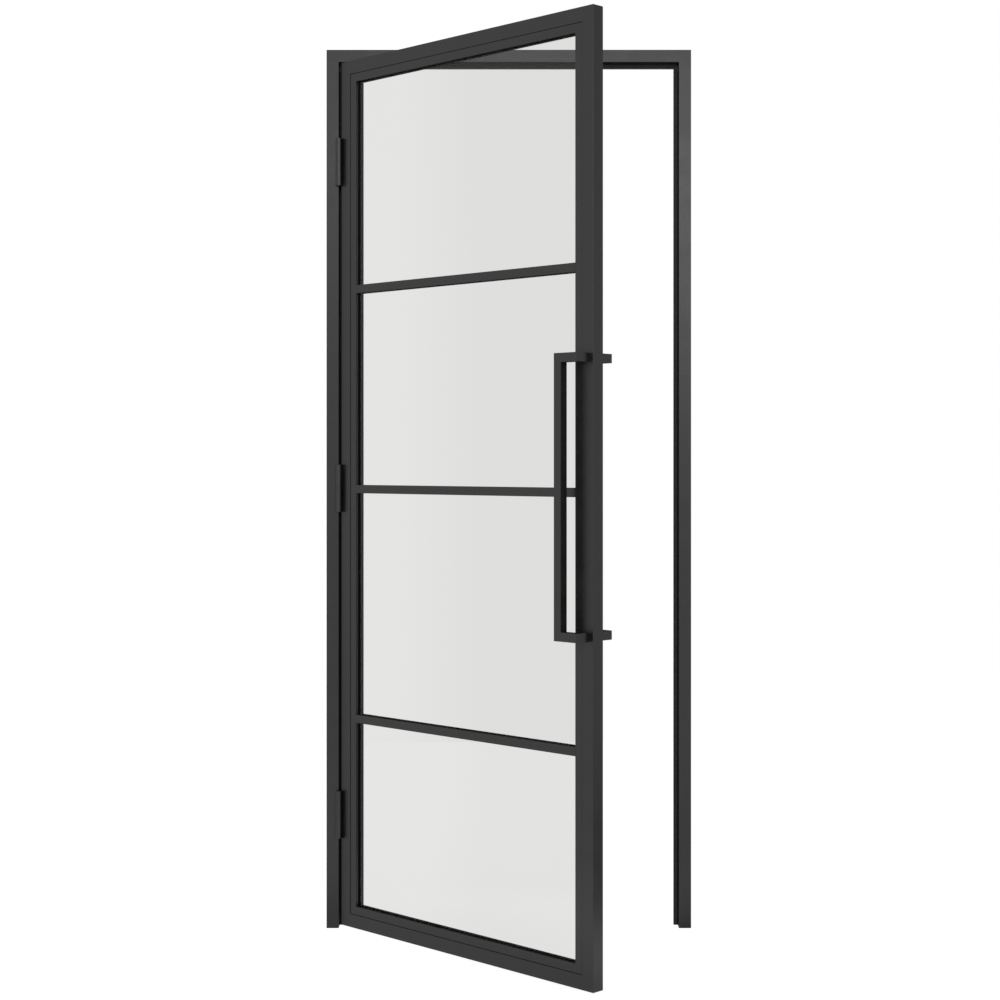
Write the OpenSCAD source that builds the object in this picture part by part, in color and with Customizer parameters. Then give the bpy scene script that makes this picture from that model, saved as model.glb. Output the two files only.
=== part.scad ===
// Glazed steel door leaf with its rebated frame, standing open on three lift-off hinges.
// X runs across the doorway from the hinge side, Y from the front face to the back, Z up from the floor.
// The origin is the middle of the hinge jamb's foot.

/* [Door leaf] */
// Width of the leaf
leaf_w = 832; // [600:1:1100]
// Height of the leaf
leaf_h = 2116; // [2000:1:2600]
// Thickness of the leaf
leaf_t = 32; // [30:1:45]
// Width of the tube that runs round the leaf
tube_w = 32; // [28:1:50]
// Width of the glazing flange inside the tube
flange_w = 21; // [18:1:30]
// Thickness of the glazing flange
flange_t = 7; // [5:0.5:9]
// Depth of the step from the tube's face to the flange
face_step = 1.2; // [0.5:0.1:2]
// Width of the shadow groove between the tube and the flange
groove_w = 1.2; // [0.6:0.1:2]
// Depth of the shadow groove below the flange's face
groove_d = 2.5; // [1:0.5:4]
// How far the leaf stands open
open_angle = 45; // [0:5:170]

/* [Frame] */
// Width of the frame's face
frame_face = 30; // [26:1:60]
// How far the stop stands into the doorway past the face
stop_w = 10; // [8:0.5:13]
// Thickness of the stop
stop_t = 6; // [4:1:12]
// Gap between the leaf and each jamb
side_gap = 2; // [1.8:0.1:5]
// Gap between the leaf and the head
top_gap = 3; // [2:0.5:6]
// Gap between the leaf and the floor
floor_gap = 9.5; // [4:0.5:20]
// Room for the seal between the leaf's back and the stop
seal_room = 2; // [1.5:0.5:6]
// Clearance between the seal and the closed leaf
seal_clear = 0.3; // [0.1:0.1:0.6]
// Bare edge of the stop on each side of the seal
seal_inset = 1.5; // [0.5:0.25:3]

/* [Metal sections] */
// Wall of the steel tubes
wall = 2; // [1.5:0.25:2.5]
// Chamfer along the outer edges of the tubes
edge = 0.3; // [0.2:0.1:1]
// Wall of the glazing beads
bead_wall = 1.5; // [1:0.25:2]

/* [Glazing] */
// Height of the lowest glazing bar above the floor
bar_1_z = 520; // [400:0.5:700]
// Height of the middle glazing bar above the floor
bar_2_z = 1079.5; // [850:0.5:1250]
// Height of the highest glazing bar above the floor
bar_3_z = 1566.5; // [1400:0.5:1750]
// Width of a glazing bar's face
bar_w = 20; // [19:1:40]
// Thickness of a glazing bar's web
bar_web = 3; // [2:0.5:4]
// Room between a pane and a bar's web
web_gap = 3; // [2:0.5:4]
// Room between a pane and the leaf's tube
edge_gap = 5; // [3:0.5:8]
// Thickness of the glass
glass_t = 6; // [4:1:8]
// Thickness of the glazing tape on each side of the glass
tape_t = 1; // [0.5:0.25:2]
// Width of the glazing tape
tape_w = 5; // [4:0.5:6]
// How far the tape sits back from the visible edge of the glass
tape_inset = 0.5; // [0:0.25:1]
// Thickness of the beads behind the glass
bead_t = 10; // [6:0.5:12]
// Length of a setting block under a pane
block_l = 60; // [30:5:100]
// Distance from the pane's side to its setting block
block_in = 90; // [50:5:150]

/* [Hinges] */
// Diameter of a hinge barrel
hinge_d = 14.5; // [12.5:0.5:16]
// Height of a whole hinge
hinge_h = 116; // [90:2:140]
// Distance from the leaf's lower edge to the middle of the lowest hinge
hinge_low = 271; // [200:1:330]
// Distance from the leaf's upper edge to the middle of the highest hinge
hinge_top = 244; // [150:1:330]
// Gap between a hinge barrel and the leaf's face
barrel_gap = 0.3; // [0.3:0.1:5]
// Diameter of the hinge pin
pin_d = 8; // [6:0.5:9]
// Radial clearance between the pin and the barrel
pin_fit = 0.05; // [0.02:0.01:0.1]
// Thickness of the bearing washer in a hinge
washer_t = 1; // [0.5:0.25:2]
// How far a hinge flag reaches into the rebate
flag_in = 22; // [18:1:26]
// Clearance between a flag and the edge across the gap
flag_clear = 0.5; // [0.3:0.1:1]
// Solid end of a barrel past its bore
barrel_end = 8; // [5:1:15]
// Thickness of the backing plates that the hinge screws are tapped into
plate_t = 4; // [3:0.5:8]

/* [Screws] */
// Diameter of a hinge screw
screw_d = 5; // [4:0.5:5]
// Diameter of a hinge screw's head
screw_head_d = 9.4; // [8.5:0.2:9.8]
// Length of a hinge screw
screw_l = 12; // [10:1:16]
// Distance between the two screws of a flag
screw_pitch = 34; // [26:1:36]
// Clearance round a screw or a stud
fit = 0.1; // [0.05:0.05:0.2]

/* [Handles] */
// Width of the handles' square bar
grip_w = 20; // [16:1:20]
// Height of a handle over its ends
handle_h = 620; // [400:10:900]
// Height of the handles' middle above the floor
handle_z = 1070; // [950:5:1200]
// Clearance between the rear handle's legs and the stop of the closed door
handle_clear = 3; // [3:0.5:8]
// Distance from the legs' middle to the grip's middle
handle_shift = 46; // [40:1:80]
// How far a handle stands out from the leaf
handle_out = 41; // [32:1:48]
// Diameter of the studs that join the two handles
stud_d = 8; // [6:1:10]
// Depth of a stud in a handle's leg
stud_in = 22; // [15:1:30]
// Diameter of the set screws that lock the studs
set_d = 5; // [4:0.5:6]
// Distance from the leaf's face to a set screw's middle
set_out = 12; // [6:1:14]

/* [Wall fixings] */
// Diameter of the fixing holes
fixing_d = 8; // [6:0.5:10]
// Height of a jamb's lowest fixing hole above the floor
fixing_z = 130; // [80:5:150]
// Distance from the frame's top to a jamb's highest fixing hole
fixing_top = 170; // [120:5:200]
// Distance between the two fixing holes of the head
head_fixing_pitch = 500; // [200:10:520]

/* [Hidden] */
$fn = 64;
over = 1;
fixing_count = 4;
hinge_count = 3;
pane_count = 4;
socket_depth = 1.4;

coat = [0.24, 0.24, 0.245];
dark_rubber = [0.07, 0.07, 0.07];
bare_steel = [0.6, 0.6, 0.62];

frame_w = leaf_w + 2 * (side_gap + frame_face);
frame_h = floor_gap + leaf_h + top_gap + frame_face;
frame_d = leaf_t + seal_room + stop_t;
frame_x = -(frame_face + stop_w) / 2;
front_y = -frame_d / 2;
rebate_x = frame_x + frame_face;
leaf_x = rebate_x + side_gap;
leaf_top = floor_gap + leaf_h;
hinge_out = hinge_d / 2 + barrel_gap;
pivot_x = leaf_x - side_gap / 2;
pivot_y = front_y - hinge_out;

inner_w = tube_w + flange_w;
flange_back = face_step + flange_t;
glass_front = flange_back + tape_t;
glass_back = glass_front + glass_t;
bead_front = glass_back + tape_t;
bar_z = [bar_1_z, bar_2_z, bar_3_z];

flag_t = side_gap - flag_clear;
knuckle_h = (hinge_h - washer_t) / 2;
screw_head_h = (screw_head_d - screw_d) / 2;
plate_h = screw_pitch + 2 * screw_d;
plate_w = flag_in - 2 * wall;
screw_y = flag_in / 2;
seal_t = seal_room - seal_clear;
seal_w = stop_w - 2 * seal_inset;
leg_z = (handle_h - grip_w) / 2;
handle_edge = stop_w - side_gap + handle_clear;
step_edge = min(edge, face_step / 2);
groove_floor = face_step + groove_d;
fixing_pitch = (frame_h - fixing_z - fixing_top) / (fixing_count - 1);

// Lower and upper edge of the visible glass of pane i, counted from the floor
function sight_low(i) = i == 1 ? floor_gap + inner_w : bar_z[i - 2] + bar_w / 2;
function sight_high(i) = i == pane_count ? leaf_top - inner_w : bar_z[i - 1] - bar_w / 2;

// Height that pane i's setting blocks stand on, and the room that they fill
function seat_low(i) = i == 1 ? floor_gap + tube_w : bar_z[i - 2] + bar_web / 2;
function block_h(i) = i == 1 ? edge_gap : web_gap;
function glass_low(i) = seat_low(i) + block_h(i);
function glass_high(i) = i == pane_count ? leaf_top - tube_w - edge_gap : bar_z[i - 1] - bar_web / 2 - web_gap;

// Height of hinge i's middle, the hinges being evenly spread
function hinge_mid(i) =
    floor_gap + hinge_low + (i - 1) * (leaf_h - hinge_low - hinge_top) / (hinge_count - 1);

// Rectangle with its corners cut
module cut_rectangle(w, h) {
    polygon([[edge, 0], [w - edge, 0], [w, edge], [w, h - edge],
             [w - edge, h], [edge, h], [0, h - edge], [0, edge]]);
}

// Wedge that cuts the low end of a bar to 45 degrees, its long side at x = 0
module mitre_cut(reach, depth) {
    rotate([90, 0, 0])
        linear_extrude(2 * (depth + over), center = true)
            polygon([[-over, -over], [reach + over, -over], [reach + over, reach + over]]);
}

module mitre_cut_high(length, reach, depth) {
    translate([0, 0, length]) mirror([0, 0, 1]) mitre_cut(reach, depth);
}

// Puts what is modelled in the closed leaf's own frame where the open leaf stands.
// There x runs from the hinge edge, y from the front face to the back and z from the floor.
module on_leaf() {
    translate([pivot_x, pivot_y, 0])
        rotate([0, 0, -open_angle])
            translate([leaf_x - pivot_x, front_y - pivot_y, 0])
                children();
}

// Frame section: x from the outer edge towards the doorway, y from the front face
module frame_outline() {
    full_w = frame_face + stop_w;
    stop_y = frame_d - stop_t;
    polygon([[edge, 0], [frame_face - edge, 0], [frame_face, edge], [frame_face, stop_y],
             [full_w - edge, stop_y], [full_w, stop_y + edge], [full_w, frame_d - edge],
             [full_w - edge, frame_d], [edge, frame_d], [0, frame_d - edge], [0, edge]]);
}

module frame_bar(length, foot) {
    reach = frame_face + stop_w;
    difference() {
        linear_extrude(length) frame_outline();
        translate([wall, wall, foot ? wall : -over])
            linear_extrude(length + 2 * over) square([frame_face - 2 * wall, frame_d - 2 * wall]);
        mitre_cut_high(length, reach, frame_d);
        if (!foot) mitre_cut(reach, frame_d);
    }
}

// Holes through a jamb for the screws that hold it in the wall
module jamb_fixing_holes() {
    for (i = [0:fixing_count - 1])
        translate([-over, frame_d / 2, fixing_z + i * fixing_pitch])
            rotate([0, 90, 0]) cylinder(d = fixing_d, h = frame_face + 2 * over);
}

module hinge_jamb() {
    color(coat) difference() {
        translate([frame_x, front_y, 0]) difference() {
            frame_bar(frame_h, foot = true);
            jamb_fixing_holes();
        }
        frame_screw_places() screw_hole();
    }
}

module strike_jamb() {
    color(coat) translate([frame_x + frame_w, front_y, 0]) mirror([1, 0, 0]) difference() {
        frame_bar(frame_h, foot = true);
        jamb_fixing_holes();
    }
}

module head() {
    color(coat) translate([frame_x, front_y, frame_h]) rotate([0, 90, 0]) difference() {
        frame_bar(frame_w, foot = false);
        for (side = [-1, 1])
            translate([-over, frame_d / 2, frame_w / 2 + side * head_fixing_pitch / 2])
                rotate([0, 90, 0]) cylinder(d = fixing_d, h = frame_face + 2 * over);
    }
}

// Seal strip on the stop's front face, in the frame section's own x and y
module seal_strip(length) {
    translate([frame_face + seal_inset, frame_d - stop_t - seal_t, 0]) cube([seal_w, seal_t, length]);
}

module jamb_seal() {
    seal_strip(frame_h - frame_face - seal_inset - seal_w);
}

module hinge_jamb_seal() {
    color(dark_rubber) translate([frame_x, front_y, 0]) jamb_seal();
}

module strike_jamb_seal() {
    color(dark_rubber) translate([frame_x + frame_w, front_y, 0]) mirror([1, 0, 0]) jamb_seal();
}

module head_seal() {
    color(dark_rubber)
        translate([rebate_x + seal_inset, front_y, frame_h])
            rotate([0, 90, 0]) seal_strip(frame_w - 2 * (frame_face + seal_inset));
}

// Countersunk hinge screw, its head's face at z = 0 and its point at z = screw_l
module hinge_screw() {
    difference() {
        union() {
            cylinder(d1 = screw_head_d, d2 = screw_d, h = screw_head_h);
            cylinder(d = screw_d, h = screw_l);
        }
        translate([0, 0, -over]) cylinder(d = screw_d * 0.6, h = socket_depth + over, $fn = 6);
    }
}

module screw_hole() {
    translate([0, 0, -over]) cylinder(d = screw_head_d + 2 * fit, h = over);
    cylinder(d1 = screw_head_d + 2 * fit, d2 = screw_d + 2 * fit, h = screw_head_h);
    cylinder(d = screw_d + 2 * fit, h = screw_l + over);
}

// The two screws of each flag, on the face that a flag turns to the gap
module frame_screw_places() {
    for (i = [1:hinge_count], side = [-1, 1])
        translate([rebate_x + flag_t, front_y + screw_y,
                   hinge_mid(i) - (washer_t + knuckle_h) / 2 + side * screw_pitch / 2])
            rotate([0, -90, 0]) children();
}

module leaf_screw_places() {
    for (i = [1:hinge_count], side = [-1, 1])
        translate([-flag_t, screw_y, hinge_mid(i) + (washer_t + knuckle_h) / 2 + side * screw_pitch / 2])
            rotate([0, 90, 0]) children();
}

module frame_hinge_screws() {
    color(coat) frame_screw_places() hinge_screw();
}

module leaf_hinge_screws() {
    color(coat) on_leaf() leaf_screw_places() hinge_screw();
}

// Tapped plate inside a tube behind one flag, its middle at the origin and its wall side at x = 0
module backing_plate() {
    translate([0, -plate_w / 2, -plate_h / 2]) cube([plate_t, plate_w, plate_h]);
}

module frame_hinge_plates() {
    color(bare_steel) difference() {
        for (i = [1:hinge_count])
            translate([rebate_x - wall - plate_t, front_y + screw_y, hinge_mid(i) - (washer_t + knuckle_h) / 2])
                backing_plate();
        frame_screw_places() screw_hole();
    }
}

module leaf_hinge_plates() {
    color(bare_steel) on_leaf() difference() {
        for (i = [1:hinge_count])
            translate([wall, screw_y, hinge_mid(i) + (washer_t + knuckle_h) / 2]) backing_plate();
        leaf_screw_places() screw_hole();
    }
}

// Barrel of half a hinge, standing on z = 0 round the pivot
module barrel() {
    r = hinge_d / 2;
    rotate_extrude()
        polygon([[0, 0], [r - edge, 0], [r, edge], [r, knuckle_h - edge], [r - edge, knuckle_h], [0, knuckle_h]]);
}

// Flag of half a hinge, with its two free corners rounded, from the pivot's line into the rebate
module flag_outline() {
    corner = 5;
    reach = hinge_out + flag_in;
    square([reach - corner, knuckle_h]);
    translate([0, corner]) square([reach, knuckle_h - 2 * corner]);
    for (z = [corner, knuckle_h - corner]) translate([reach - corner, z]) circle(corner);
}

module flag() {
    rotate([90, 0, 90]) linear_extrude(flag_t) flag_outline();
}

module hinge_frame_half(i) {
    color(coat) difference() {
        translate([pivot_x, pivot_y, hinge_mid(i) - hinge_h / 2]) difference() {
            union() {
                barrel();
                translate([-side_gap / 2, 0, 0]) flag();
            }
            translate([0, 0, barrel_end]) cylinder(r = pin_d / 2 + pin_fit, h = knuckle_h);
        }
        frame_screw_places() screw_hole();
    }
}

module hinge_leaf_half(i) {
    color(coat) on_leaf() difference() {
        translate([-side_gap / 2, -hinge_out, hinge_mid(i) + washer_t / 2]) difference() {
            union() {
                barrel();
                translate([side_gap / 2 - flag_t, 0, 0]) flag();
            }
            translate([0, 0, -over]) cylinder(r = pin_d / 2 + pin_fit, h = knuckle_h - barrel_end + over);
        }
        leaf_screw_places() screw_hole();
    }
}

// The pin stands on the floor of the lower bore and stops short of the end of the upper one
module hinge_pin(i) {
    length = hinge_h - 2 * barrel_end - over;
    r = pin_d / 2;
    color(bare_steel) translate([pivot_x, pivot_y, hinge_mid(i) - hinge_h / 2 + barrel_end])
        rotate_extrude() polygon([[0, 0], [r, 0], [r, length - edge], [r - edge, length], [0, length]]);
}

module hinge_washer(i) {
    color(dark_rubber) translate([pivot_x, pivot_y, hinge_mid(i) - washer_t / 2]) difference() {
        cylinder(d = hinge_d - edge, h = washer_t);
        translate([0, 0, -over]) cylinder(d = pin_d + 2 * fit, h = washer_t + 2 * over);
    }
}

// Leaf section: x from the outer edge inwards, y from the front face. A tube carries the glazing flange,
// and a shadow groove parts the two on the front.
module leaf_outline() {
    polygon([[edge, 0], [tube_w - step_edge, 0], [tube_w, step_edge], [tube_w, groove_floor],
             [tube_w + groove_w, groove_floor], [tube_w + groove_w, face_step],
             [inner_w - edge, face_step], [inner_w, face_step + edge], [inner_w, flange_back],
             [tube_w, flange_back], [tube_w, leaf_t - edge], [tube_w - edge, leaf_t],
             [edge, leaf_t], [0, leaf_t - edge], [0, edge]]);
}

module leaf_hollows() {
    translate([wall, wall]) square([tube_w - 2 * wall, leaf_t - 2 * wall]);
    translate([tube_w + groove_w + wall, face_step + wall])
        square([flange_w - groove_w - 2 * wall, flange_t - 2 * wall]);
}

module leaf_bar(length) {
    difference() {
        linear_extrude(length) leaf_outline();
        translate([0, 0, -over]) linear_extrude(length + 2 * over) leaf_hollows();
        mitre_cut(inner_w, leaf_t);
        mitre_cut_high(length, inner_w, leaf_t);
    }
}

module hinge_stile() {
    color(coat) on_leaf() difference() {
        translate([0, 0, floor_gap]) leaf_bar(leaf_h);
        leaf_screw_places() screw_hole();
    }
}

module pull_stile() {
    color(coat) on_leaf() difference() {
        translate([leaf_w, 0, floor_gap]) mirror([1, 0, 0]) leaf_bar(leaf_h);
        handle_places() rotate([-90, 0, 0])
            translate([0, 0, -over]) cylinder(d = stud_d + 4 * fit, h = leaf_t + 2 * over);
    }
}

module top_rail() {
    color(coat) on_leaf() translate([0, 0, leaf_top]) rotate([0, 90, 0]) leaf_bar(leaf_w);
}

module bottom_rail() {
    color(coat) on_leaf() translate([0, 0, floor_gap]) mirror([0, 0, 1]) rotate([0, 90, 0]) leaf_bar(leaf_w);
}

// T-section bar. Its face ends at the flanges of the stiles, and its web runs on to their tubes.
module glazing_bar(i) {
    half_w = bar_w / 2;
    half_web = bar_web / 2;
    color(coat) on_leaf() translate([0, 0, bar_z[i - 1]]) {
        translate([inner_w, 0, 0]) rotate([90, 0, 90]) linear_extrude(leaf_w - 2 * inner_w)
            polygon([[face_step + edge, -half_w], [flange_back, -half_w], [flange_back, -half_web],
                     [bead_front, -half_web], [bead_front, half_web], [flange_back, half_web],
                     [flange_back, half_w], [face_step + edge, half_w],
                     [face_step, half_w - edge], [face_step, -half_w + edge]]);
        translate([tube_w, flange_back, -half_web]) cube([leaf_w - 2 * tube_w, bead_front - flange_back, bar_web]);
    }
}

// Hollow strip that holds the glass from behind, in its own x and y, along z
module bead_strip(width, length) {
    linear_extrude(length) difference() {
        cut_rectangle(width, bead_t);
        translate([bead_wall, bead_wall]) square([width - 2 * bead_wall, bead_t - 2 * bead_wall]);
    }
}

module side_bead() {
    translate([tube_w, bead_front, floor_gap + tube_w]) bead_strip(flange_w, leaf_h - 2 * tube_w);
}

// Strip across the leaf between the side beads, its upper edge at the given height
module cross_bead(width, upper_z) {
    translate([inner_w, bead_front, upper_z]) rotate([0, 90, 0]) bead_strip(width, leaf_w - 2 * inner_w);
}

module hinge_side_bead() {
    color(coat) on_leaf() side_bead();
}

module pull_side_bead() {
    color(coat) on_leaf() translate([leaf_w, 0, 0]) mirror([1, 0, 0]) side_bead();
}

module top_bead() {
    color(coat) on_leaf() cross_bead(flange_w, leaf_top - tube_w);
}

module bottom_bead() {
    color(coat) on_leaf() cross_bead(flange_w, floor_gap + inner_w);
}

module bar_cap(i) {
    color(coat) on_leaf() cross_bead(bar_w, bar_z[i - 1] + bar_w / 2);
}

module glass_pane(i) {
    side = tube_w + edge_gap;
    color([0.85, 0.88, 0.88, 0.35]) on_leaf()
        translate([side, glass_front, glass_low(i)])
            cube([leaf_w - 2 * side, glass_t, glass_high(i) - glass_low(i)]);
}

// Ring of glazing tape round the visible glass of pane i, on the glass's front or back
module tape_ring(i, y) {
    low = sight_low(i) - tape_inset;
    side = inner_w - tape_inset;
    h = sight_high(i) + tape_inset - low;
    w = leaf_w - 2 * side;
    color(dark_rubber) on_leaf() translate([side, y, low]) difference() {
        translate([-tape_w, 0, -tape_w]) cube([w + 2 * tape_w, tape_t, h + 2 * tape_w]);
        translate([0, -over, 0]) cube([w, tape_t + 2 * over, h]);
    }
}

module front_tape(i) {
    tape_ring(i, flange_back);
}

module rear_tape(i) {
    tape_ring(i, glass_back);
}

module setting_blocks() {
    first = tube_w + edge_gap + block_in;
    color(dark_rubber) on_leaf()
        for (i = [1:pane_count], x = [first, leaf_w - first - block_l])
            translate([x, glass_front, seat_low(i)]) cube([block_l, glass_t, block_h(i)]);
}

// Square bar along z about its own middle line. Each end is cut square, or mitred with its short
// side turned by low or high degrees from x.
module square_bar(length, low, high) {
    half = grip_w / 2;
    difference() {
        linear_extrude(length) translate([-half, -half]) cut_rectangle(grip_w, grip_w);
        if (!is_undef(low)) rotate([0, 0, low]) translate([-half, 0, 0]) mitre_cut(grip_w, grip_w);
        if (!is_undef(high))
            rotate([0, 0, high]) translate([-half, 0, 0]) mitre_cut_high(length, grip_w, grip_w);
    }
}

// Handle with its grip set over from its two legs. x runs from the legs to the grip, y out of the
// leaf, and z = 0 is half way up.
module handle() {
    half = grip_w / 2;
    arm_y = handle_out - half;
    difference() {
        union() {
            translate([handle_shift, arm_y, -handle_h / 2]) square_bar(handle_h, low = 180, high = 180);
            for (side = [-1, 1]) translate([0, 0, side * leg_z]) {
                translate([-half, arm_y, 0]) rotate([0, 90, 0])
                    square_bar(handle_shift + grip_w, low = -90, high = side > 0 ? 0 : 180);
                rotate([-90, 0, 0]) square_bar(handle_out, high = 0);
            }
        }
        for (side = [-1, 1]) translate([0, 0, side * leg_z]) {
            rotate([-90, 0, 0]) translate([0, 0, -over]) cylinder(d = stud_d + 2 * fit, h = stud_in + 2 * over);
            translate([0, set_out, 0]) rotate([0, 90, 0]) cylinder(d = set_d + 2 * fit, h = half + over);
        }
    }
}

// Middle of each pair of legs on the front face, in the leaf's frame
module handle_places() {
    for (side = [-1, 1])
        translate([leaf_w - handle_edge - grip_w / 2, 0, handle_z + side * leg_z]) children();
}

module front_side() {
    translate([leaf_w - handle_edge - grip_w / 2, 0, handle_z]) rotate([0, 0, 180]) children();
}

module rear_side() {
    translate([leaf_w - handle_edge - grip_w / 2, leaf_t, handle_z]) mirror([1, 0, 0]) children();
}

module front_handle() {
    color(coat) on_leaf() front_side() handle();
}

module rear_handle() {
    color(coat) on_leaf() rear_side() handle();
}

module handle_studs() {
    color(bare_steel) on_leaf() handle_places() rotate([-90, 0, 0])
        translate([0, 0, -stud_in]) cylinder(d = stud_d, h = leaf_t + 2 * stud_in);
}

// Set screw in a leg, from just under the leg's side to the stud
module set_screw() {
    length = (grip_w - stud_d) / 2 - over - fit;
    translate([grip_w / 2 - over, 0, 0]) rotate([0, -90, 0]) difference() {
        cylinder(d = set_d, h = length);
        translate([0, 0, -over]) cylinder(d = set_d / 2, h = socket_depth + over, $fn = 6);
    }
}

module handle_set_screws() {
    color(bare_steel) on_leaf() for (side = [-1, 1]) {
        front_side() translate([0, set_out, side * leg_z]) set_screw();
        rear_side() translate([0, set_out, side * leg_z]) set_screw();
    }
}

hinge_jamb();
strike_jamb();
head();
hinge_jamb_seal();
strike_jamb_seal();
head_seal();
for (i = [1:hinge_count]) {
    hinge_frame_half(i);
    hinge_leaf_half(i);
    hinge_pin(i);
    hinge_washer(i);
}
frame_hinge_plates();
frame_hinge_screws();
leaf_hinge_plates();
leaf_hinge_screws();
hinge_stile();
pull_stile();
top_rail();
bottom_rail();
for (i = [1:pane_count - 1]) {
    glazing_bar(i);
    bar_cap(i);
}
hinge_side_bead();
pull_side_bead();
top_bead();
bottom_bead();
for (i = [1:pane_count]) {
    glass_pane(i);
    front_tape(i);
    rear_tape(i);
}
setting_blocks();
front_handle();
rear_handle();
handle_studs();
handle_set_screws();
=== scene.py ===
"""Looks of the glazed steel door: coats, glass, rubber and steel, with the studio round it."""
import math

import bpy
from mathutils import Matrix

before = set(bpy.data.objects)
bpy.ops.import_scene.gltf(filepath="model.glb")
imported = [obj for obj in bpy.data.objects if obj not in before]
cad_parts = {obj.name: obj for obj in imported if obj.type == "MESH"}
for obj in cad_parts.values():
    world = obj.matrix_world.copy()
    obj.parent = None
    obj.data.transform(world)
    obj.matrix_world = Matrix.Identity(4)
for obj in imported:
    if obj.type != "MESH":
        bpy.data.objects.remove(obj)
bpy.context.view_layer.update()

MM = 0.001
WHITE = (1.0, 1.0, 1.0, 1.0)
# X of the middle between the two jambs
DOOR_MIDDLE = 0.428

# Camera of the photograph: it looks straight ahead, level with the middle of the door
CAMERA_PLACE = (0.40634, -4.5772, 1.14667)
CAMERA_LENS = 66.76
CAMERA_SENSOR = 36.0
CAMERA_SHIFT_Y = -0.03848
STRAIGHT_AHEAD = math.radians(90)

# Oval lamp in front of the door and to its right
KEY_PLACE = (1.334, -5.0, 2.517)
KEY_SIZE = (3.93, 1.38)
KEY_TURN = math.radians(11.5)
KEY_POWER = 42.0

# Brightness of the room as the coats and the glass reflect it, where 1 is white. The first number of a pair
# is the direction in degrees: 0 straight behind the door, 90 to the right, 180 in front and -90 to the left.
DARK = 0.02
ROOM = ((-180, 1.0), (-150, 1.0), (-110, 1.13), (-70, 0.73), (-42, DARK),
        (40, DARK), (65, 0.62), (90, 0.76), (150, 0.92), (180, 1.0))
# How much of that brightness is left at a height, given as the sine of the direction's slope. The fade says
# how far to the right the heights of the left side give way to those of the right side.
LEFT_HEIGHTS = ((-0.35, 0.84), (-0.1, 1.0), (0.08, 1.0), (0.25, 0.90))
RIGHT_HEIGHTS = ((-0.3, 0.6), (-0.12, 1.0), (0.12, 1.0), (0.27, 0.68))
HEIGHTS_FADE = (0.1, 0.6)

# Brightness of the floor in the same reflections, by X and Y added up, which is 0 under the open leaf. The
# far left has a level of its own. Behind the door the floor is as dark as the room there: the last two fades
# run outwards from the door's middle and back from the door.
FLOOR = ((-3.0, 0.9), (-1.2, 1.3), (-0.75, 1.28), (-0.2, 0.74), (0.1, 0.76),
         (0.3, 1.1), (0.6, 1.08), (0.9, 0.32), (1.5, 0.3))
FLOOR_LEFT = 0.78
FLOOR_LEFT_FADE = (-0.4, -0.2)
DARK_SIDE_FADE = (0.48, 0.66)
DARK_BACK_FADE = (0.0, 0.3)

# Brightness of the backdrop and of the floor's glow as the camera sees them, higher on the left. The glow is
# mixed by this share with the floor's own colour, which keeps a faint shadow of the door.
BACKDROP_LEFT = 1.065
BACKDROP_RIGHT = 1.0
BACKDROP_FADE = (-0.054, -0.0075)
GLOW_LEFT = 1.24
GLOW_RIGHT = 1.20
GLOW_FADE = (0.2, 0.36)
GLOW_SHARE = 0.8
FLOOR_COLOUR = (0.88, 0.88, 0.87, 1.0)
FLOOR_HALF = 3.0

# Powder coat: its two blacks, and the sizes and depths of its cloudiness, orange peel and grain
BLACK = (0.0065, 0.0065, 0.0066)
SOFT_BLACK = (0.0095, 0.0095, 0.0096)
CLOUD_SCALE = 22.0
PEEL_SIZE = 2.2 * MM
PEEL_DEPTH = 0.05 * MM
GRAIN_SIZE = 0.6 * MM
GRAIN_DEPTH = 0.02 * MM
COAT_IOR = 1.5
# How far the roughness varies to either side, for each of the coat's noises and for the other solids
COAT_VARIES = 0.03
SOLID_VARIES = 0.06

# Inside of the jambs' rebates, where the coat is duller as painted shade: how far it reaches from the door's
# middle, its back at the stops and its top below the head, each with a fade too narrow to see
REBATE_HALF = 0.4182
REBATE_BACK = 0.0145
REBATE_TOP = 2.11
REBATE_FADE = 0.0004

# Grey of the seals by X in metres: darkest deep in the hinge-side gap as painted shade, palest on the strike
# jamb as painted light
SEAL_PAINTED_SHADE_AND_LIGHT = ((0.0, 0.004), (0.03, 0.008), (0.3, 0.022), (0.6, 0.025), (0.8, 0.031), (0.836, 0.031),
         (0.838, 0.042), (1.0, 0.042))
SEAL_GRAIN = 0.003

# Glass: the tint of a whole pane, what one face reflects when seen straight on, and its roller wave
GLASS_TINT = (0.742, 0.744, 0.735)
GLASS_GLOSS = 0.025
GRAZING_POWER = 5.0
WAVE_SCALE = 3.0
WAVE_DEPTH = 0.15 * MM


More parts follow.
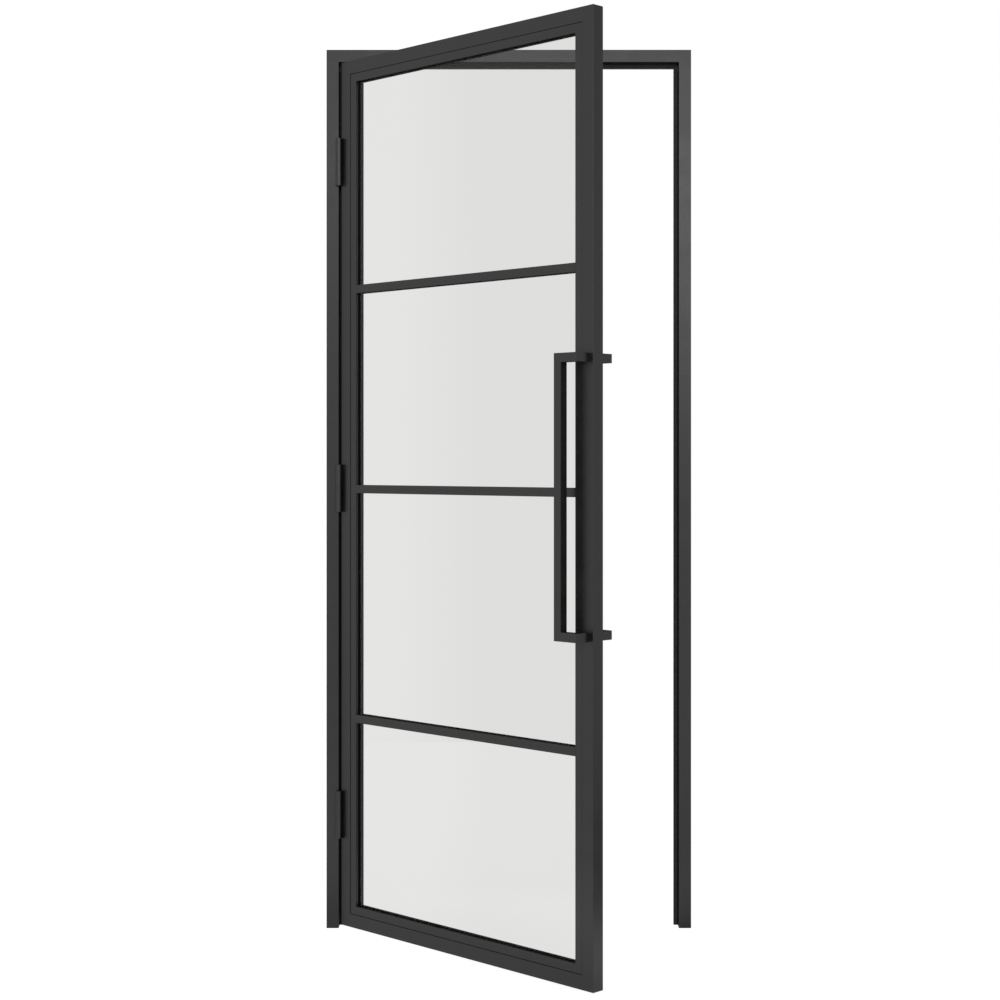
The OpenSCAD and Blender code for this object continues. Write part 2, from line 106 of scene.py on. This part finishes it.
class Nodes:
    """Small helper that adds and joins the nodes of one tree."""

    def __init__(self, tree):
        self.tree = tree
        tree.nodes.clear()

    def add(self, kind, **values):
        node = self.tree.nodes.new(kind)
        for name, value in values.items():
            setattr(node, name, value)
        return node

    def link(self, source, target):
        self.tree.links.new(source, target)

    def give(self, value, socket):
        """Sets the socket to a number, or links it to another node's output."""
        if isinstance(value, (int, float)):
            socket.default_value = value
        else:
            self.link(value, socket)

    def math(self, operation, *values):
        node = self.add("ShaderNodeMath", operation=operation)
        for socket, value in zip(node.inputs, values):
            self.give(value, socket)
        return node.outputs[0]

    def noise(self, place, scale, detail, roughness=0.5):
        node = self.add("ShaderNodeTexNoise")
        node.inputs["Scale"].default_value = scale
        node.inputs["Detail"].default_value = detail
        node.inputs["Roughness"].default_value = roughness
        self.link(place, node.inputs["Vector"])
        return node.outputs["Fac"]

    def spread(self, value, low, high, start=0.3, end=0.7):
        """Maps start to end, which is a noise's usual range unless given, to the range from low to high."""
        node = self.add("ShaderNodeMapRange")
        self.link(value, node.inputs["Value"])
        for name, number in (("From Min", start), ("From Max", end), ("To Min", low), ("To Max", high)):
            node.inputs[name].default_value = number
        return node.outputs["Result"]

    def blend(self, factor, first, second):
        """Colour between the first and the second, by the factor."""
        node = self.add("ShaderNodeMix", data_type="RGBA")
        self.link(factor, node.inputs["Factor"])
        node.inputs["A"].default_value = (*first, 1.0)
        node.inputs["B"].default_value = (*second, 1.0)
        return node.outputs["Result"]

    def mix(self, factor, first, second):
        """Number between the first and the second, by the factor."""
        node = self.add("ShaderNodeMix", data_type="FLOAT")
        for name, value in (("Factor", factor), ("A", first), ("B", second)):
            self.give(value, node.inputs[name])
        return node.outputs["Result"]

    def profile(self, value, start, end, pairs):
        """Level at a value between start and end, from pairs of a value and its level."""
        node = self.add("ShaderNodeValToRGB")
        self.link(self.spread(value, 0.0, 1.0, start, end), node.inputs["Fac"])
        stops = node.color_ramp.elements
        stops.remove(stops[1])
        for index, (place, level) in enumerate(pairs):
            position = (place - start) / (end - start)
            stop = stops.new(position) if index else stops[0]
            stop.position = position
            stop.color = (level, level, level, 1.0)
        return node.outputs["Color"]

    def split(self, place):
        """X, Y and Z of a place or a direction."""
        node = self.add("ShaderNodeSeparateXYZ")
        self.link(place, node.inputs["Vector"])
        return [node.outputs[axis] for axis in "XYZ"]

    def beside(self, across):
        """Distance from the door's middle to either side."""
        return self.math("ABSOLUTE", self.math("SUBTRACT", across, DOOR_MIDDLE))

    def turn(self, across, along):
        """Direction in degrees: 0 straight behind the door, 90 to the right and -90 to the left."""
        return self.math("DEGREES", self.math("ARCTAN2", across, along))

    def light(self, kind, strength):
        """White background or emission of that strength."""
        node = self.add(kind)
        node.inputs["Color"].default_value = WHITE
        self.link(strength, node.inputs["Strength"])
        return node.outputs[0]

    def choose(self, factor, first, second):
        """First shader, or as much of the second as the factor says."""
        node = self.add("ShaderNodeMixShader")
        self.link(factor, node.inputs["Fac"])
        self.link(first, node.inputs[1])
        self.link(second, node.inputs[2])
        return node.outputs["Shader"]

    def camera_ray(self):
        """1 for rays from the camera and rays that look through glass, 0 for light on the object."""
        path = self.add("ShaderNodeLightPath")
        return self.math("MAXIMUM", path.outputs["Is Camera Ray"], path.outputs["Is Transmission Ray"])

    def glossy_ray(self):
        """1 for rays that a coat or the glass reflects."""
        return self.add("ShaderNodeLightPath").outputs["Is Glossy Ray"]

    def bump(self, height, depth, base=None):
        """Normal of a surface with that depth, on top of the base's normal where one is given."""
        node = self.add("ShaderNodeBump")
        node.inputs["Distance"].default_value = depth
        node.inputs["Strength"].default_value = 1.0
        self.link(height, node.inputs["Height"])
        if base is not None:
            self.link(base, node.inputs["Normal"])
        return node.outputs["Normal"]


def material_nodes(name):
    """Empties or makes the material of that name. Returns its nodes, the socket for its surface and the
    place on the object."""
    material = bpy.data.materials.get(name) or bpy.data.materials.new(name)
    material.use_nodes = True
    nodes = Nodes(material.node_tree)
    surface = nodes.add("ShaderNodeOutputMaterial").inputs["Surface"]
    place = nodes.add("ShaderNodeTexCoord").outputs["Object"]
    return nodes, surface, place


def principled(name, shine):
    """Makes a material of one Principled shader with that shine. Returns its nodes, the shader and the place
    on the object."""
    nodes, surface, place = material_nodes(name)
    shader = nodes.add("ShaderNodeBsdfPrincipled")
    shader.inputs["Specular IOR Level"].default_value = shine
    nodes.link(shader.outputs["BSDF"], surface)
    return nodes, shader, place


def inside_rebates(nodes, place):
    """1 inside the jambs' rebates and 0 on the rest of the frame: the mask of the coat's painted shade
    there.
    """
    across, along, up = nodes.split(place)
    inside = nodes.spread(nodes.beside(across), 1.0, 0.0, REBATE_HALF, REBATE_HALF + REBATE_FADE)
    for value, edge in ((along, REBATE_BACK), (up, REBATE_TOP)):
        before = nodes.spread(value, 1.0, 0.0, edge, edge + REBATE_FADE)
        inside = nodes.math("MULTIPLY", inside, before)
    return inside


def powder_coat(name, dark, light, roughness, shine=0.5, rebate_painted_shade=None):
    """Matt black powder coat: a fine grain, an orange peel and a very faint cloudiness. Where a rebate's
    shine is given, the coat is as dull as that inside the jambs' rebates, as painted shade in these
    recesses."""
    nodes, shader, place = principled(name, shine)
    cloud = nodes.noise(place, CLOUD_SCALE, detail=3.0, roughness=0.6)
    peel = nodes.noise(place, 1 / PEEL_SIZE, detail=1.0)
    grain = nodes.noise(place, 1 / GRAIN_SIZE, detail=2.0, roughness=0.7)
    nodes.link(nodes.blend(nodes.spread(cloud, 0, 1), dark, light), shader.inputs["Base Color"])
    rough = nodes.math("ADD", nodes.spread(cloud, roughness - COAT_VARIES, roughness + COAT_VARIES),
                       nodes.spread(grain, -COAT_VARIES, COAT_VARIES))
    nodes.link(rough, shader.inputs["Roughness"])
    fine = nodes.bump(grain, GRAIN_DEPTH)
    nodes.link(nodes.bump(peel, PEEL_DEPTH, base=fine), shader.inputs["Normal"])
    shader.inputs["IOR"].default_value = COAT_IOR
    # Lower shine inside the jambs' rebates: painted shade in these recesses.
    if rebate_painted_shade is not None:
        level = nodes.mix(inside_rebates(nodes, place), shine, rebate_painted_shade)
        nodes.link(level, shader.inputs["Specular IOR Level"])


def fine_surface(nodes, shader, place, roughness, size, depth):
    """Gives the shader a fine irregular surface of one scale, and returns the noise that makes it."""
    grain = nodes.noise(place, 1 / size, detail=3.0, roughness=0.6)
    rough = nodes.spread(grain, roughness - SOLID_VARIES, roughness + SOLID_VARIES)
    nodes.link(rough, shader.inputs["Roughness"])
    nodes.link(nodes.bump(grain, depth), shader.inputs["Normal"])
    return grain


def plain_solid(name, dark, light, roughness, size, depth, metallic=0.0, shine=0.5):
    """Tape, plastic or bare steel, mottled between two colours."""
    nodes, shader, place = principled(name, shine)
    grain = fine_surface(nodes, shader, place, roughness, size, depth)
    nodes.link(nodes.blend(nodes.spread(grain, 0, 1), dark, light), shader.inputs["Base Color"])
    shader.inputs["Metallic"].default_value = metallic


def seal_rubber(name, roughness, size, depth, shine):
    """Matt rubber of the seals, whose grey changes along X as painted shade in the hinge-side gap and
    painted light on the strike jamb.
    """
    nodes, shader, place = principled(name, shine)
    grain = fine_surface(nodes, shader, place, roughness, size, depth)
    across, _, _ = nodes.split(place)
    # Painted shade in the hinge-side gap and painted light on the strike jamb, by X.
    level = nodes.profile(across, 0.0, 1.0, SEAL_PAINTED_SHADE_AND_LIGHT)
    colour = nodes.math("ADD", level, nodes.spread(grain, -SEAL_GRAIN, SEAL_GRAIN))
    nodes.link(colour, shader.inputs["Base Color"])


def clear_glass(name):
    """Clear toughened glass with the slight roller wave of its making. Each face lets light through
    straight, takes half of the pane's tint, and reflects more as the light grazes it."""
    nodes, surface, place = material_nodes(name)
    wave = nodes.bump(nodes.noise(place, WAVE_SCALE, detail=0.0), WAVE_DEPTH)
    facing = nodes.add("ShaderNodeLayerWeight").outputs["Facing"]
    grazing = nodes.math("POWER", facing, GRAZING_POWER)
    share = nodes.math("ADD", nodes.math("MULTIPLY", grazing, 1.0 - GLASS_GLOSS), GLASS_GLOSS)
    through = nodes.add("ShaderNodeBsdfTransparent")
    through.inputs["Color"].default_value = (*(math.sqrt(part) for part in GLASS_TINT), 1.0)
    mirror = nodes.add("ShaderNodeBsdfGlossy")
    mirror.inputs["Roughness"].default_value = 0.0
    nodes.link(wave, mirror.inputs["Normal"])
    nodes.link(nodes.choose(share, through.outputs["BSDF"], mirror.outputs["BSDF"]), surface)


def grey(level):
    return (level, level, level)


def finish_materials():
    # The frame's coat is duller inside the rebates, as painted shade.
    powder_coat("frame_coat", BLACK, SOFT_BLACK, roughness=0.31, rebate_painted_shade=0.16)
    powder_coat("leaf_coat", BLACK, SOFT_BLACK, roughness=0.31)
    powder_coat("bead_coat", BLACK, SOFT_BLACK, roughness=0.38, shine=0.3)
    powder_coat("handle_coat", BLACK, SOFT_BLACK, roughness=0.30)
    powder_coat("hinge_coat", BLACK, SOFT_BLACK, roughness=0.28, shine=0.58)
    powder_coat("screw_coat", grey(0.012), grey(0.02), roughness=0.3)
    clear_glass("clear_glass")
    seal_rubber("seal_rubber", roughness=0.75, size=1.0 * MM, depth=0.04 * MM, shine=0.2)
    plain_solid("glazing_tape", grey(0.004), grey(0.008), roughness=0.8,
                size=0.8 * MM, depth=0.1 * MM, shine=0.2)
    plain_solid("bearing_plastic", grey(0.02), grey(0.03), roughness=0.35, size=2.0 * MM, depth=0.01 * MM)
    plain_solid("block_plastic", grey(0.015), grey(0.03), roughness=0.5, size=2.0 * MM, depth=0.03 * MM)
    plain_solid("bare_steel", (0.50, 0.50, 0.51), grey(0.62), roughness=0.3,
                size=1.5 * MM, depth=0.01 * MM, metallic=1.0)


def make_world():
    """The reflections show a pale room that is dark behind the door. The camera sees a white backdrop."""
    world = bpy.data.worlds.new("studio")
    bpy.context.scene.world = world
    world.use_nodes = True
    nodes = Nodes(world.node_tree)
    surface = nodes.add("ShaderNodeOutputWorld").inputs["Surface"]
    across, along, up = nodes.split(nodes.add("ShaderNodeTexCoord").outputs["Generated"])
    level = nodes.profile(nodes.turn(across, along), -180, 180, ROOM)
    left, right = (nodes.profile(up, -1.0, 1.0, heights) for heights in (LEFT_HEIGHTS, RIGHT_HEIGHTS))
    height = nodes.mix(nodes.spread(across, 0.0, 1.0, *HEIGHTS_FADE), left, right)
    lit = nodes.light("ShaderNodeBackground", nodes.math("MULTIPLY", level, height))
    backdrop = nodes.spread(across, BACKDROP_LEFT, BACKDROP_RIGHT, *BACKDROP_FADE)
    shown = nodes.light("ShaderNodeBackground", backdrop)
    nodes.link(nodes.choose(nodes.camera_ray(), lit, shown), surface)


def make_floor():
    """Pale floor. It keeps a faint shadow of the door under the white that the camera sees, and in the
    reflections it is as dark behind the door as the room."""
    mesh = bpy.data.meshes.new("floor")
    corners = ((-1, -1), (1, -1), (1, 1), (-1, 1))
    mesh.from_pydata([(x * FLOOR_HALF, y * FLOOR_HALF, 0.0) for x, y in corners], [], [(0, 1, 2, 3)])
    floor = bpy.data.objects.new("floor", mesh)
    bpy.context.scene.collection.objects.link(floor)
    nodes, surface, place = material_nodes("floor")
    mesh.materials.append(bpy.data.materials["floor"])
    matt = nodes.add("ShaderNodeBsdfDiffuse")
    matt.inputs["Color"].default_value = FLOOR_COLOUR
    across, along, _ = nodes.split(place)
    front = nodes.profile(nodes.math("ADD", across, along), -FLOOR_HALF, FLOOR_HALF, FLOOR)
    front = nodes.mix(nodes.spread(across, 0.0, 1.0, *FLOOR_LEFT_FADE), FLOOR_LEFT, front)
    behind = nodes.math("MULTIPLY", nodes.spread(nodes.beside(across), 1.0, 0.0, *DARK_SIDE_FADE),
                        nodes.spread(along, 0.0, 1.0, *DARK_BACK_FADE))
    mirrored = nodes.light("ShaderNodeEmission", nodes.mix(behind, front, DARK))
    glow = nodes.light("ShaderNodeEmission", nodes.spread(across, GLOW_LEFT, GLOW_RIGHT, *GLOW_FADE))
    covered = nodes.math("MULTIPLY", nodes.camera_ray(), GLOW_SHARE)
    seen = nodes.choose(covered, matt.outputs["BSDF"], glow)
    nodes.link(nodes.choose(nodes.glossy_ray(), seen, mirrored), surface)


def make_lamp():
    """Oval softbox in front of the door. It faces straight back, turned in its plane, and the camera doesn't
    see it, not through the glass either."""
    light = bpy.data.lights.new("key", "AREA")
    light.shape = "ELLIPSE"
    light.size, light.size_y = KEY_SIZE
    light.energy = KEY_POWER
    lamp = bpy.data.objects.new("key", light)
    lamp.location = KEY_PLACE
    lamp.rotation_euler = (STRAIGHT_AHEAD, KEY_TURN, 0.0)
    lamp.visible_camera = False
    lamp.visible_transmission = False
    bpy.context.scene.collection.objects.link(lamp)


def make_camera():
    camera = bpy.data.cameras.new("camera")
    camera.lens = CAMERA_LENS
    camera.sensor_width = CAMERA_SENSOR
    camera.shift_y = CAMERA_SHIFT_Y
    holder = bpy.data.objects.new("camera", camera)
    holder.location = CAMERA_PLACE
    holder.rotation_euler = (STRAIGHT_AHEAD, 0.0, 0.0)
    bpy.context.scene.collection.objects.link(holder)
    bpy.context.scene.camera = holder


finish_materials()
make_camera()
make_world()
make_floor()
make_lamp()
bpy.context.scene.view_settings.view_transform = "Standard"
